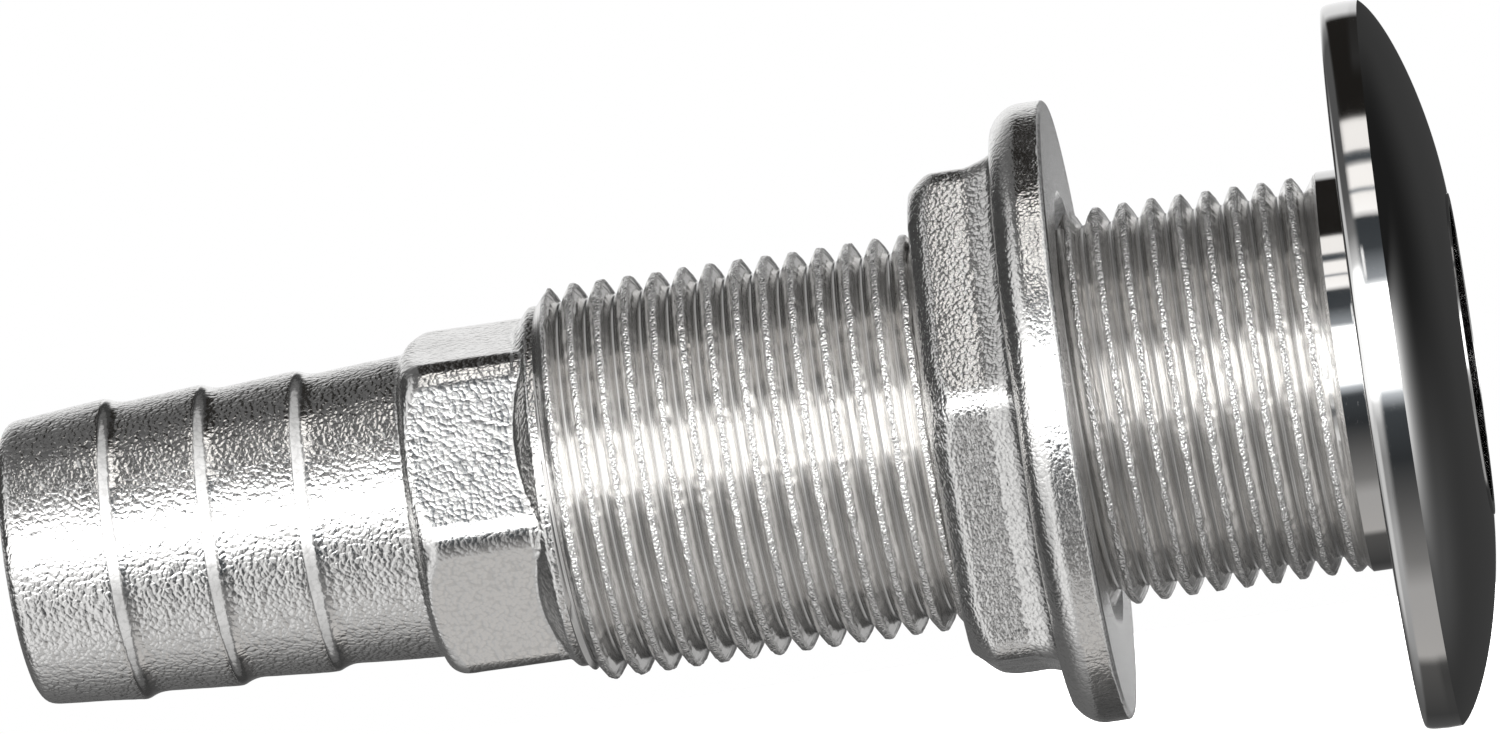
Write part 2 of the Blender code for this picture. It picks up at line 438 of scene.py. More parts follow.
def threaded_shank(machined, torn_steel, bore):
    """The external thread, chamfered at its start and run out at the neck."""
    columns = 320
    angle = angles(columns)

    def trim(x, radius):
        chamfer = ROOT_R + (x - THREAD_START_X) * START_CONE
        run_out = ROOT_R + (x - RUN_OUT_X) * RUN_OUT_SLOPE
        return np.maximum(np.minimum(radius, chamfer), np.minimum(run_out, NECK_R))

    start, end = (THREAD_START_X, ROOT_R), (THREAD_END_X, NECK_R)
    x, r = thread_rows(angle, start, end, 0.0, trim)
    points = to_points(x, r, angle)
    inside = (x > THREAD_START_X + 2 * END_SNAP) & (x < RUN_OUT_X)
    crest = smooth_step(r, CREST_R - 0.35, CREST_R - 0.05) * inside
    torn = lumps(points, 0.42, 31) + 0.6 * lumps(points, 1.1, 32)
    r = r + crest * (TORN_DEPTH * torn - TORN_WEAR)
    x = x + crest * TORN_SWAY * lumps(points, 0.5, 33)

    front_end = (THREAD_END_X, bore_radius(THREAD_END_X))
    back = refine([front_end, (TAPER_FRONT_X, SHANK_BORE_R)], spacing=9)
    back.append((THREAD_START_X, bore_radius(THREAD_START_X)))
    bx, br = ring_rows(back, columns)
    row_in_turn = np.arange(len(x)) % len(thread_profile())
    crest_rows = np.flatnonzero(np.isin(row_in_turn, CREST_ROWS))
    slots = [
        (slice(0, None), machined),
        (crest_rows, torn_steel),
        (slice(len(x) - 1, None), bore),
    ]
    return closed_piece(
        "threaded_shank",
        np.vstack([x, bx]),
        np.vstack([r, br]),
        angle,
        slots,
        sharp=38,
        threaded=(0, len(x)),
        per_turn=len(thread_profile()),
    )


def mushroom_head(polished, bore):
    """The plain neck, the sealing face, the rim band, the dome and the waterway's mouth."""
    columns = 512
    angle = angles(columns)
    fillet = quarter_round(0, NECK_R + NECK_FILLET, -NECK_FILLET, -NECK_FILLET)
    line = refine([(THREAD_END_X, NECK_R), fillet[-1]], spacing=0.4)
    line += fillet[-2::-1]
    line += refine([(0, NECK_R + NECK_FILLET + 0.1), (0, SEAT_R - 0.15)], spacing=0.9)
    line += bezier(SEAT_EDGE, steps=8)
    line += [(RIM_X, RIM_R), (RIM_X + 0.6, RIM_R - 0.02)]
    line += bezier((CREASE, DOME_EDGE_PULL, DOME_TOP_PULL, DOME_TOP), steps=44)
    lip_r = DOME_TOP[1] - LIP_DROP
    line += [(LIP_X - LIP_EDGE, lip_r), (LIP_X, lip_r - LIP_EDGE)]
    lip = quarter_round(LIP_X - LIP_ROUND, MOUTH_R, LIP_ROUND, LIP_ROUND)
    line += lip[::-1]
    line += [(LIP_X - LIP_POLISH, bore_radius(LIP_X - LIP_POLISH))]
    outer_rows = len(line)
    line += refine([line[-1], (THREAD_END_X, bore_radius(THREAD_END_X))], spacing=3)[1:]
    x, r = ring_rows(line, columns)
    slots = [(slice(0, None), polished), (slice(outer_rows - 1, None), bore)]
    return closed_piece("mushroom_head", x, r, angle, slots, sharp=24)


def nut_flange(cast, machined, bore):
    """The nut's round flange: a cast rim and back, and a machined clamping face."""
    columns = 600
    angle = angles(columns)
    rear_corner = (FLANGE_REAR_X, FLANGE_REAR_R)
    front_corner = (FLANGE_REAR_X / 2 + NUT_FACE_X / 2, FLANGE_R)
    pulls = [(FLANGE_REAR_X + along, FLANGE_R + out) for along, out in FLANGE_BACK_PULLS]
    line = refine([(FLANGE_REAR_X, FLANGE_BORE_R), (FLANGE_REAR_X, FLANGE_SKIN_R)], spacing=1.5)
    line += refine([(FLANGE_REAR_X, FLANGE_SKIN_R + 0.2), rear_corner], spacing=0.3)
    line += bezier((rear_corner, *pulls, front_corner), steps=12)[1:]
    edge_x = NUT_FACE_X - FLANGE_EDGE
    line += refine([front_corner, (edge_x, FLANGE_R)], spacing=0.25)[1:]
    cast_rows = len(line)
    face_r = FLANGE_R - FLANGE_EDGE
    line += [(edge_x + 0.12, FLANGE_R - 0.04), (NUT_FACE_X - 0.05, face_r + 0.11)]
    chamfer = [
        (NUT_FACE_X, FLANGE_BORE_R + FLANGE_CHAMFER),
        (NUT_FACE_X - FLANGE_CHAMFER, FLANGE_BORE_R),
    ]
    line += refine([(NUT_FACE_X, face_r), chamfer[0]], spacing=0.4)
    line += refine(chamfer, spacing=0.5)[1:]
    face_rows = len(line)
    line += [(NUT_FACE_X - 2.5, FLANGE_BORE_R)]
    x, r = ring_rows(line, columns)
    skin = cast_skin(seed=51, pebble_height=0.009)
    outside_hex = smooth_step(r, FLANGE_SKIN_R - 0.6, FLANGE_SKIN_R)
    share = outside_hex * (np.arange(len(line)) < cast_rows)[:, None]
    x, r = pushed_out(x, r, angle, lambda points: skin(points) * share)
    r = np.minimum(r, FLANGE_R + 0.04)
    slots = [
        (slice(0, None), cast),
        (slice(cast_rows - 1, None), machined),
        (slice(face_rows - 1, None), bore),
    ]
    return closed_piece("nut_flange_ring", x, r, angle, slots, sharp=45)


def nut_hexagon(cast, machined):
    """The nut's hexagon with its internal thread, and the cast fillet against the flange."""
    columns = 600
    angle = angles(columns, NUT_TURN)
    full = hexagon(NUT_FLATS, NUT_CORNER_R, NUT_TURN, angle)
    front = FLANGE_REAR_X + NUT_OVERLAP
    open_r = CREST_R + THREAD_GAP

    def trim(x, radius):
        to_end = np.minimum(x - NUT_REAR_X, front - x)
        return np.maximum(radius, np.minimum(open_r, open_r + NUT_THREAD_CHAMFER - to_end))

    start, end = (NUT_REAR_X, open_r), (front, open_r)
    x, r = thread_rows(angle, start, end, THREAD_GAP, trim)
    thread_count = len(x)

    # The outside, from the flange to the rear face. Its points change with the angle
    cut = np.maximum(full - NUT_CHAMFER_R, 0)
    edge_x = NUT_REAR_X + cut * NUT_CHAMFER_SLOPE + NUT_EDGE_ROUND[0]
    face_r = full - cut - NUT_EDGE_ROUND[1]
    fillet_steps, side_rows, edge_steps, rear_rows = 10, 16, 12, 8
    curve = bezier(NUT_FILLET, fillet_steps)[::-1]
    fillet = [(front + along, full + out) for along, out in curve]
    edge = []
    for t in np.linspace(NUT_EDGE_START, math.pi / 2, edge_steps + 1):
        inward = (1 - math.sin(t)) / (1 - math.sin(NUT_EDGE_START))
        outward = math.cos(t) / math.cos(NUT_EDGE_START)
        along = NUT_REAR_X + (edge_x - NUT_REAR_X) * inward
        edge.append((along, face_r + (full - face_r) * outward))
    bore_edge = (NUT_REAR_X, open_r + NUT_REAR_LAND)
    line = fillet + edge + [bore_edge]
    parts_between = [1] * fillet_steps + [side_rows] + [1] * edge_steps + [rear_rows]
    rows = []
    for (ax, ar), (bx, br), parts in zip(line, line[1:], parts_between):
        for t in np.arange(parts) / parts:
            rows.append((ax + (bx - ax) * t + 0 * full, ar + (br - ar) * t + 0 * full))
    sx, sr = np.array(rows).transpose(1, 0, 2)
    middle, half = (front + NUT_REAR_X) / 2, (front - NUT_REAR_X) / 2
    crown = 1 - np.clip((sx - middle) / half, -1, 1) ** 2
    on_side = smooth_step(sr, full - 1.5, full - 0.5)
    sr = sr + NUT_CROWN * (crown - 1) * on_side
    sx, sr = eased(sx, passes=2), eased(sr, passes=2)
    # The skin fades out where the hexagon meets its bore and its flange
    skin = cast_skin(seed=71, pebble_height=0.009)
    share = np.ones((len(sx), 1))
    share[[0, -3, -2, -1], 0] = (0, 0.6, 0.3, 0)
    # The rows run from the front to the back here, so outwards is the other way
    sx, sr = pushed_out(sx, sr, angle, lambda points: -skin(points) * share)
    sx[-1], sr[-1] = bore_edge
    sx = np.maximum(sx, NUT_REAR_X - 0.04)
    slots = [(slice(0, None), machined), (slice(thread_count - 1, None), cast)]
    return closed_piece(
        "nut_hexagon",
        np.vstack([x, sx]),
        np.vstack([r, sr]),
        angle,
        slots,
        sharp=50,
        threaded=(0, thread_count),
        per_turn=len(thread_profile()),
    )


# ------------------------------------------------------------------------- materials


class Nodes:
    """A material's or a world's node tree, with a short way to add and link nodes."""

    def __init__(self, tree):
        self.tree = tree

    def feed(self, socket, value):
        """Links another node's output to this socket, or sets its plain value."""
        if isinstance(value, bpy.types.NodeSocket):
            self.tree.links.new(value, socket)
        else:
            socket.default_value = value

    def add(self, kind, settings=None, **inputs):
        """A new node. An input goes by its name, with _ for a space, or by number, as in i2."""
        node = self.tree.nodes.new(kind)
        for key, value in (settings or {}).items():
            setattr(node, key, value)
        for key, value in inputs.items():
            by_number = key[0] == "i" and key[1:].isdigit()
            self.feed(node.inputs[int(key[1:]) if by_number else key.replace("_", " ")], value)
        return node

    def math(self, operation, *values):
        node = self.add("ShaderNodeMath", {"operation": operation})
        for socket, value in zip(node.inputs, values):
            self.feed(socket, value)
        return node.outputs[0]

    def product(self, *values):
        return functools.reduce(lambda a, b: self.math("MULTIPLY", a, b), values)

    def fit(self, value, low, high, to_low=0.0, to_high=1.0, smooth=True):
        """to_low where the value is at low, to_high where it is at high, and held beyond."""
        kind = "SMOOTHSTEP" if smooth else "LINEAR"
        node = self.add(
            "ShaderNodeMapRange",
            {"interpolation_type": kind},
            i0=value,
            i1=low,
            i2=high,
            i3=to_low,
            i4=to_high,
        )
        return node.outputs[0]

    def mix_colour(self, share, first, second):
        node = self.add("ShaderNodeMix", {"data_type": "RGBA"}, i0=share, i6=first, i7=second)
        return node.outputs[2]

    def noise(self, vector, size, detail=2.0, rough=0.5):
        """Noise whose lumps are about size millimetres across."""
        node = self.add("ShaderNodeTexNoise", Vector=vector, Detail=detail, Roughness=rough)
        node.inputs["Scale"].default_value = 1 / (size * MM)
        return node.outputs[0]

    def radius(self, place):
        """The distance from the X axis, in millimetres."""
        split = self.add("ShaderNodeSeparateXYZ", i0=place)
        squares = self.math("MULTIPLY", split.outputs[1], split.outputs[1])
        squares = self.math("MULTIPLY_ADD", split.outputs[2], split.outputs[2], squares)
        return self.math("DIVIDE", self.math("SQRT", squares), MM)

    def ring(self, stations, turn):
        """A colour that changes with the angle turn: stations of (degrees, grey, warmth)."""
        share = self.math("FRACT", self.math("DIVIDE", turn, TURN))
        ramp = self.add("ShaderNodeValToRGB", Fac=share)
        stops = ramp.color_ramp.elements
        stops.remove(stops[-1])
        for index, (degrees, grey, warmth) in enumerate(stations):
            stop = stops[0] if index == 0 else stops.new(degrees / 360)
            stop.position = degrees / 360
            stop.color = warm(grey, warmth)
        return ramp.outputs[0]


class Steel(Nodes):
    """A metal material. place is where each point is on the piece."""

    def __init__(self, name):
        self.material = bpy.data.materials.new(name)
        self.material.use_nodes = True
        super().__init__(self.material.node_tree)
        self.shader = self.tree.nodes["Principled BSDF"]
        self.shader.inputs["Metallic"].default_value = 1.0
        self.place = self.add("ShaderNodeTexCoord").outputs["Object"]

    def stretched(self, scales):
        """The place, scaled along each axis."""
        settings = {"operation": "MULTIPLY"}
        return self.add("ShaderNodeVectorMath", settings, i0=self.place, i1=scales).outputs[0]

    def finish(self, relief, height, rough, shade, dark, light):
        """The finished material. relief is in units of height, and shade is 0 where it's dark."""
        bump = self.add("ShaderNodeBump", Strength=1.0, Distance=height * MM, Height=relief)
        tone = self.mix_colour(shade, (*dark, 1.0), (*light, 1.0))
        self.feed(self.shader.inputs["Normal"], bump.outputs[0])
        self.feed(self.shader.inputs["Roughness"], rough)
        self.feed(self.shader.inputs["Base Color"], tone)
        return self.material


def darker(colour, factor):
    return tuple(part * factor for part in colour)


def cast_steel(name, cell, height, colour, dull, calm=None):
    """Glossy investment-cast steel with an orange-peel skin of pebbles about cell across, and
    painted shade in the valleys between the pebbles.

    height is how high the pebbles stand, and dull is the roughness. calm(nodes, x), if given,
    is 1 where the skin is smooth and 0 where it is pebbled.
    """
    steel = Steel(name)
    place = steel.place
    bend = steel.add("ShaderNodeTexNoise", Vector=place, Scale=1 / (cell * 2.2 * MM), Detail=1.0)
    shift = steel.add("ShaderNodeVectorMath", {"operation": "SCALE"}, i0=bend.outputs["Color"])
    shift.inputs["Scale"].default_value = cell * 1.3 * MM
    moved = steel.add("ShaderNodeVectorMath", {"operation": "ADD"}, i0=place, i1=shift.outputs[0])
    pebble = steel.add(
        "ShaderNodeTexVoronoi",
        {"feature": "SMOOTH_F1"},
        Vector=moved.outputs[0],
        Scale=1 / (cell * MM),
        Smoothness=0.15,
    )
    sides = steel.math("POWER", pebble.outputs["Distance"], PEBBLE_FLATNESS)
    dome = steel.math("SUBTRACT", 1.0, sides)
    fine = steel.noise(place, cell * 0.45)
    slow = steel.noise(place, cell * 4.0)
    relief = steel.math("MULTIPLY_ADD", fine, 0.35, dome)
    relief = steel.math("MULTIPLY_ADD", slow, 0.3, relief)
    if calm:
        x = steel.add("ShaderNodeSeparateXYZ", i0=place).outputs[0]
        relief = steel.product(relief, steel.math("SUBTRACT", 1.0, calm(steel, x)))
    rough = steel.fit(steel.noise(place, 3.0, 3.0), 0.3, 0.7, dull * 0.75, dull * 1.25)
    # Painted shade: the base colour falls to 0.88 of itself in the valleys between the pebbles,
    # where the dome is low.
    shade = steel.fit(dome, 0.35, 0.75)
    return steel.finish(relief, height, rough, shade, darker(colour, 0.88), colour)


def calm_skin(nodes, x):
    """How smooth the body's skin is: most behind each ridge, and partly so on the hex."""
    along = nodes.math("SUBTRACT", nodes.math("DIVIDE", x, MM), FIRST_RIDGE_X)
    in_pitch = nodes.math("FRACT", nodes.math("DIVIDE", along, RIDGE_PITCH))
    hollow = nodes.fit(nodes.math("MULTIPLY", in_pitch, RIDGE_PITCH), *RIDGE_CALM, 0.85, 0.0)
    last = (RIDGES - 1) * RIDGE_PITCH + 2 * RIDGE_CALM[1]
    after_first = nodes.math("GREATER_THAN", along, -0.2)
    hollow = nodes.product(hollow, after_first, nodes.math("LESS_THAN", along, last))
    on_hex = nodes.fit(x, (HEX_REAR_X + 0.3) * MM, (HEX_REAR_X + 1.5) * MM, 0.0, 0.65)
    before_shoulder = nodes.fit(x, (HEX_FRONT_X + 0.3) * MM, HEX_FRONT_X * MM)
    return nodes.math("MAXIMUM", hollow, nodes.product(on_hex, before_shoulder))


def calm_flange(nodes, x):
    """How smooth the nut's skin is: half as pebbled on the flange and its fillet."""
    return nodes.fit(x, (FLANGE_REAR_X - 1.8) * MM, (FLANGE_REAR_X - 0.4) * MM, 0.0, 0.5)


def machined_thread(name, colour):
    """Turned steel: fine tool lines round the axis, torn, pitted crests, and painted shade towards
    the thread's roots.
    """
    steel = Steel(name)
    steel.shader.inputs["Anisotropic"].default_value = 0.3
    steel.shader.inputs["Anisotropic Rotation"].default_value = 0.25
    tangent = steel.add("ShaderNodeTangent", {"direction_type": "RADIAL", "axis": "X"})
    steel.feed(steel.shader.inputs["Tangent"], tangent.outputs[0])
    radius = steel.radius(steel.place)
    split = steel.add("ShaderNodeSeparateXYZ", i0=steel.stretched((350.0, 90.0, 90.0)))
    line_place = steel.add(
        "ShaderNodeCombineXYZ",
        i0=steel.math("MULTIPLY_ADD", radius, 4.5, split.outputs[0]),
        i1=split.outputs[1],
        i2=split.outputs[2],
    )
    lines = steel.add("ShaderNodeTexNoise", Vector=line_place.outputs[0], Scale=1.0, Detail=3.0)
    lines = lines.outputs[0]
    crest = steel.fit(radius, CREST_R - 0.36, CREST_R - 0.10)
    torn = steel.noise(steel.place, 0.22, 3.0, 0.65)
    relief = steel.math("MULTIPLY", lines, 0.40)
    relief = steel.math("MULTIPLY_ADD", steel.product(torn, crest), 2.4, relief)
    rough = steel.fit(lines, 0.3, 0.7, 0.13, 0.22)
    rough = steel.math("SUBTRACT", rough, steel.math("MULTIPLY", crest, 0.03))
    # Painted shade: the base colour darkens towards the thread's roots, down to 0.72 of itself,
    # and random stain patches darken it further.
    stain = steel.fit(steel.noise(steel.place, 5.0, 3.0), 0.2, 0.8, 0.7, 1.0)
    shade = steel.product(steel.fit(radius, ROOT_R - 0.1, ROOT_R + 0.9), stain)
    return steel.finish(relief, 0.05, rough, shade, darker(colour, 0.72), colour)


def polished_steel(name, colour):
    """Mirror-polished steel with hairline scratches and a barely uneven surface."""
    steel = Steel(name)
    hair_place = steel.stretched((1 / (0.10 * MM), 1 / (0.10 * MM), 1 / (6.0 * MM)))
    hair = steel.add("ShaderNodeTexNoise", Vector=hair_place, Scale=1.0, Detail=2.0)
    scratch = steel.fit(hair.outputs[0], 0.62, 0.74)
    wave = steel.noise(steel.place, 5.0, 1.0)
    relief = steel.math("MULTIPLY_ADD", scratch, -0.02, wave)
    cloud = steel.noise(steel.place, 7.0, 3.0)
    rough = steel.fit(cloud, 0.3, 0.75, 0.035, 0.075)
    rough = steel.math("MULTIPLY_ADD", scratch, 0.06, rough)
    return steel.finish(relief, 0.012, rough, cloud, darker(colour, 0.93), colour)


def faced_steel(name, colour):
    """A face turned flat on a lathe, with fine rings and a dull sheen."""
    steel = Steel(name)
    rings = steel.add(
        "ShaderNodeTexNoise",
        {"noise_dimensions": "1D"},
        W=steel.math("MULTIPLY", steel.radius(steel.place), 6.0),
        Scale=1.0,
        Detail=3.0,
    )
    grain = steel.noise(steel.place, 0.25, 3.0)
    relief = steel.math("MULTIPLY_ADD", grain, 1.4, rings.outputs[0])
    rough = steel.fit(grain, 0.3, 0.7, 0.10, 0.17)
    shade = steel.fit(grain, 0.3, 0.7)
    return steel.finish(relief, 0.03, rough, shade, darker(colour, 0.65), colour)


def bore_steel(name):
    """The waterway's wall: cast, bored, and duller than the outside, with its base colour darkened
    as painted shade inside the bore.
    """
    steel = Steel(name)
    grain = steel.noise(steel.place, 0.6, 3.0)
    rough = steel.fit(grain, 0.3, 0.7, 0.30, 0.45)
    # Painted shade: the darker base colours, 0.42 to 0.60, stand in for the shade inside the
    # waterway, and the grain varies them at random.
    return steel.finish(grain, 0.05, rough, grain, (0.42, 0.40, 0.38), (0.60, 0.58, 0.55))


# --------------------------------------------------------------- studio and camera


# The studio as the metal sees it, round the object's axis: (degrees, brightness, warmth).
# 0 is straight behind, 90 overhead, 180 towards the camera and 270 below. The first ring is
# what lies square to the axis, with the window's bars, the second is what lies beside it, and
# the third is what lies far out past the barb's end.
STUDIO_RING = (
    (0, 0.3, 0.0),
    (5, 1.0, 0.0),
    (29, 0.9, 0.0),
    (36, 0.018, 0.10),
    (94, 0.016, 0.10),
    (96, 1.3, 0.03),
    (107, 1.3, 0.03),
    (108.5, 0.10, -0.12),
    (112, 0.10, -0.12),
    (113.5, 1.4, 0.03),
    (121, 1.4, 0.03),
    (121.8, 0.3, -0.1),
    (122.8, 0.3, -0.1),
    (123.6, 1.4, 0.03),
    (130, 1.5, 0.02),
    (132, 0.06, -0.12),
    (142, 0.08, -0.10),
    (153, 0.5, -0.06),
    (155, 4.0, 0.0),
    (184, 4.0, 0.0),
    (188, 0.9, -0.05),
    (193, 0.08, -0.10),
    (209, 0.045, -0.08),
    (220, 0.11, 0.0),
    (244, 0.27, 0.02),
    (254, 0.52, 0.02),
    (284, 0.56, 0.03),
    (289, 0.12, 0.02),
    (326, 0.06, 0.0),
    (346, 0.10, 0.0),
    (357, 0.3, 0.0),
)
SIDE_RING = (
    (0, 0.5, 0.0),
    (6, 1.0, 0.0),
    (18, 0.95, 0.0),
    (28, 0.7, 0.0),
    (40, 0.32, 0.0),
    (52, 0.12, 0.0),
    (88, 0.12, 0.0),
    (112, 0.12, 0.0),
    (124, 0.14, 0.0),
    (136, 0.26, 0.0),
    (146, 0.95, 0.0),
    (152, 3.4, 0.0),
    (186, 3.2, 0.0),
    (191, 1.2, 0.0),
    (197, 0.6, 0.0),
    (208, 0.36, 0.0),
    (220, 0.40, 0.0),
    (234, 0.56, 0.0),
    (256, 0.54, 0.0),
    (280, 0.44, 0.0),
    (292, 0.30, 0.0),
    (304, 0.19, 0.0),
    (322, 0.14, 0.0),
    (354, 0.13, 0.0),
)
FAR_RING = (
    (0, 0.12, 0.0),
    (30, 0.16, 0.0),
    (52, 0.13, 0.0),
    (68, 0.17, 0.0),
    (84, 0.46, 0.0),
    (108, 0.7, 0.0),
    (140, 0.9, 0.0),
    (152, 1.5, 0.0),
    (190, 1.5, 0.0),
    (202, 0.9, 0.0),
    (216, 0.65, 0.0),
    (250, 0.48, 0.0),
    (290, 0.26, 0.0),
    (310, 0.14, 0.0),
    (350, 0.10, 0.0),
)
STUDIO_BRIGHTNESS = 4.0
LAMP_POWER = 4.2
LAMP_SPREAD = math.radians(40)
LAMP_TURN = (math.radians(25), math.radians(-15), 0)
FLOOR_RADIUS = 400.0
FLOOR_MIDDLE_X = -50.0
FLOOR_GAP = 0.2

# The reflector card: a flat ring round the head. It glows less past CARD_EDGE and inside
# CARD_CENTRE, and has a brighter level strip between these heights and these radii.
CARD_RADII = (31.0, 700.0)
CARD_SIDES = 96
CARD_BRIGHTNESS = 3.0
CARD_EDGE = (330, 400)
CARD_EDGE_BRIGHTNESS = 0.8
CARD_CENTRE = (60, 140)
CARD_CENTRE_SHARE = 0.35
CARD_STRIP_BRIGHTNESS = 0.75
CARD_STRIP_HEIGHTS = ((-48, -30), (40, 0))
CARD_STRIP_RADII = ((160, 200), (640, 560))
# The card's glow round the axis, as a share of the greatest: (degrees, share)
CARD_RING = (
    (0, 0.15),
    (70, 0.15),
    (90, 0.19),
    (116, 0.33),
    (138, 0.40),
    (150, 0.55),
    (192, 0.55),
    (204, 0.30),
    (220, 0.22),
    (246, 0.25),
    (290, 0.15),
    (355, 0.15),
)


def warm(grey, warmth):
    return (grey * (1 + warmth), grey, grey * (1 - warmth), 1.0)


def studio_light(nodes):
    """What the metal sees in each direction: the rings, with flat tones over parts of them."""
    way = nodes.add("ShaderNodeTexCoord").outputs["Generated"]
    x, y, z = nodes.add("ShaderNodeSeparateXYZ", i0=way).outputs
    turn = nodes.math("ARCTAN2", z, y)
    fit = nodes.fit

    def studio(stations):
        stops = [(degrees, grey / STUDIO_BRIGHTNESS, warmth) for degrees, grey, warmth in stations]
        return nodes.ring(stops, turn)

    def veil(seen, brightness, *shares):
        """The studio with a flat tone laid over the part where all these shares meet."""
        tone = warm(brightness / STUDIO_BRIGHTNESS, 0.0)
        return nodes.mix_colour(nodes.product(*shares), seen, tone)

    beside = nodes.math("ADD", x, math.sin(CAMERA_YAW))
    aside = nodes.math("MAXIMUM", fit(beside, -0.026, -0.085), fit(beside, 0.12, 0.5))
    seen = nodes.mix_colour(aside, studio(STUDIO_RING), studio(SIDE_RING))
    seen = nodes.mix_colour(fit(x, -0.40, -0.54), seen, studio(FAR_RING))

    # A pale gap above the white card, level with the wrench hex
    gap = (fit(x, -0.096, -0.106), fit(x, -0.134, -0.120), fit(y, -0.60, -0.70))
    seen = veil(seen, 1.4, *gap, fit(z, 0.44, 0.50), fit(z, 0.64, 0.59))
    # Behind and towards the head it is dark
    seen = veil(seen, 0.05, fit(x, -0.03, 0.03), fit(y, 0.20, 0.45))
    # Past the head's end: dark, less so below, and white only about level and in front
    right = nodes.product(fit(x, 0.40, 0.75), fit(y, -0.20, 0.20))
    right = nodes.math("MAXIMUM", right, fit(x, 0.72, 0.88))
    seen = veil(seen, 0.018, right)
    seen = veil(seen, 0.10, right, fit(z, 0.12, -0.28))
    front = fit(y, -0.20, 0.62, 1.0, 0.0, smooth=False)
    level = (fit(z, 0.28, 0.05), fit(z, -0.65, -0.10))
    seen = veil(seen, 1.35, right, front, front, *level)
    # Past the barb's end: dark above and below
    above, below = fit(z, -0.05, 0.10), fit(z, 0.10, -0.05)
    seen = veil(seen, 0.06, fit(x, -0.60, -0.70), fit(y, -0.12, 0.05), above, fit(z, 0.86, 0.74))
    seen = veil(seen, 0.06, fit(x, -0.78, -0.86), fit(y, -0.50, -0.30), above)
    seen = veil(seen, 0.07, fit(x, -0.66, -0.78), fit(y, -0.35, -0.10), below)
    # Behind and past the barb's end: dark, with a glow along the horizon
    left = (fit(x, -0.45, -0.60), fit(y, 0.20, 0.40))
    seen = veil(seen, 0.06, *left, above, fit(z, 0.68, 0.58))
    seen = veil(seen, 0.13, *left, below)
    seen = veil(seen, 0.5, *left, fit(nodes.math("ABSOLUTE", z), 0.16, 0.02))
    # A bright strip low in front, just short of the barb's end
    strip = (fit(x, -0.28, -0.38), fit(x, -0.70, -0.55))
    return veil(seen, 0.85, *strip, fit(z, -0.10, -0.35), fit(y, 0.20, -0.20))


def light_studio():
    """The studio round the fitting, which the camera itself sees as plain white, and a lamp."""
    world = bpy.data.worlds.new("studio")
    bpy.context.scene.world = world
    world.use_nodes = True
    world.node_tree.nodes.clear()
    nodes = Nodes(world.node_tree)
    around = nodes.add(
        "ShaderNodeBackground", Color=studio_light(nodes), Strength=STUDIO_BRIGHTNESS
    )
    backdrop = nodes.add("ShaderNodeBackground", Color=(1.0, 1.0, 1.0, 1.0), Strength=1.0)
    shown = nodes.add(
        "ShaderNodeMixShader",
        i0=nodes.add("ShaderNodeLightPath").outputs["Is Camera Ray"],
        i1=around.outputs[0],
        i2=backdrop.outputs[0],
    )
    nodes.add("ShaderNodeOutputWorld", Surface=shown.outputs[0])

    lamp_data = bpy.data.lights.new("soft_key", "SUN")
    lamp_data.energy = LAMP_POWER
    lamp_data.angle = LAMP_SPREAD
    lamp = bpy.data.objects.new("soft_key", lamp_data)
    lamp.rotation_euler = LAMP_TURN
    lamp.visible_glossy = False
    bpy.context.scene.collection.objects.link(lamp)


def hang_card():
    """A pale card round the head, which lights what faces the head and is clear from in front."""
    bm = bmesh.new()
    rings = []
    for radius in CARD_RADII:
        turns = (TURN * k / CARD_SIDES for k in range(CARD_SIDES))
        place = [(0, radius * MM * math.cos(t), radius * MM * math.sin(t)) for t in turns]
        rings.append([bm.verts.new(p) for p in place])
    for k in range(CARD_SIDES):
        after = (k + 1) % CARD_SIDES
        bm.faces.new((rings[0][k], rings[0][after], rings[1][after], rings[1][k]))
    mesh = bpy.data.meshes.new("reflector_card")
    bm.to_mesh(mesh)
    bm.free()
    card = bpy.data.objects.new("reflector_card", mesh)
    material = bpy.data.materials.new("card_glow")
    material.use_nodes = True
    material.node_tree.nodes.clear()
    nodes = Nodes(material.node_tree)
    place = nodes.add("ShaderNodeTexCoord").outputs["Object"]
    _, y, z = nodes.add("ShaderNodeSeparateXYZ", i0=place).outputs
    radius = nodes.radius(place)
    outer = nodes.fit(radius, *CARD_EDGE, CARD_BRIGHTNESS, CARD_EDGE_BRIGHTNESS)
    centre = nodes.fit(radius, *CARD_CENTRE, CARD_CENTRE_SHARE, 1.0)
    stations = [(degrees, share, 0.0) for degrees, share in CARD_RING]
    power = nodes.product(outer, centre, nodes.ring(stations, nodes.math("ARCTAN2", z, y)))
    height = nodes.math("DIVIDE", z, MM)
    edges = [nodes.fit(height, *pair) for pair in CARD_STRIP_HEIGHTS]
    edges += [nodes.fit(radius, *pair) for pair in CARD_STRIP_RADII]
    power = nodes.math("MULTIPLY_ADD", nodes.product(*edges), CARD_STRIP_BRIGHTNESS, power)
    glow = nodes.add("ShaderNodeEmission", Strength=power)
    clear = nodes.add("ShaderNodeBsdfTransparent")
    facing = nodes.add("ShaderNodeNewGeometry").outputs["Backfacing"]
    shown = nodes.add("ShaderNodeMixShader", i0=facing, i1=glow.outputs[0], i2=clear.outputs[0])
    nodes.add("ShaderNodeOutputMaterial", Surface=shown.outputs[0])
    mesh.materials.append(material)
    bpy.context.scene.collection.objects.link(card)
    card.visible_camera = False
    card.visible_diffuse = False
    card.visible_shadow = False


